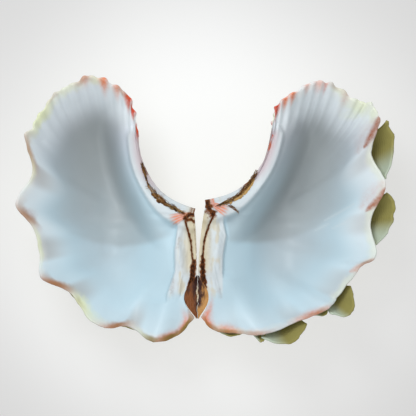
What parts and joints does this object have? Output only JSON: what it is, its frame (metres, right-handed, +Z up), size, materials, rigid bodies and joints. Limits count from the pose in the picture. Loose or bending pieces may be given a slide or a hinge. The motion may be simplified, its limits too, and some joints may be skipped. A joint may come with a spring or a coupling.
{
  "type": "giant clam shell",
  "caption": "Fluted giant clam shell laid open at its hinge, hollow side up: deep ribbed valves with folded margins, leafy scutes and torn ligament.",
  "frame": {"origin": "middle of the underside of the open pair, on the surface that it lies on", "axes": "+X across the pair from the left valve to the right valve, +Y along the hinge line towards the beaks, +Z up, out of the hollows"},
  "size_m": [0.352, 0.253, 0.0873],
  "materials": {
    "shell": "porcelain-smooth and glossy inside, matt and olive to yellow-green outside, orange-red blotches on the rim",
    "ligament": "dry, dark red-brown to amber, cracked",
    "byssus_remains": "dry brown fibrous crust"
  },
  "bodies": {
    "root": {"left_valve": "shell", "left_ligament": "ligament", "left_byssus_remains": "byssus_remains", "right_valve": "shell", "right_ligament": "ligament", "right_byssus_remains": "byssus_remains"}
  },
  "joints": []
}
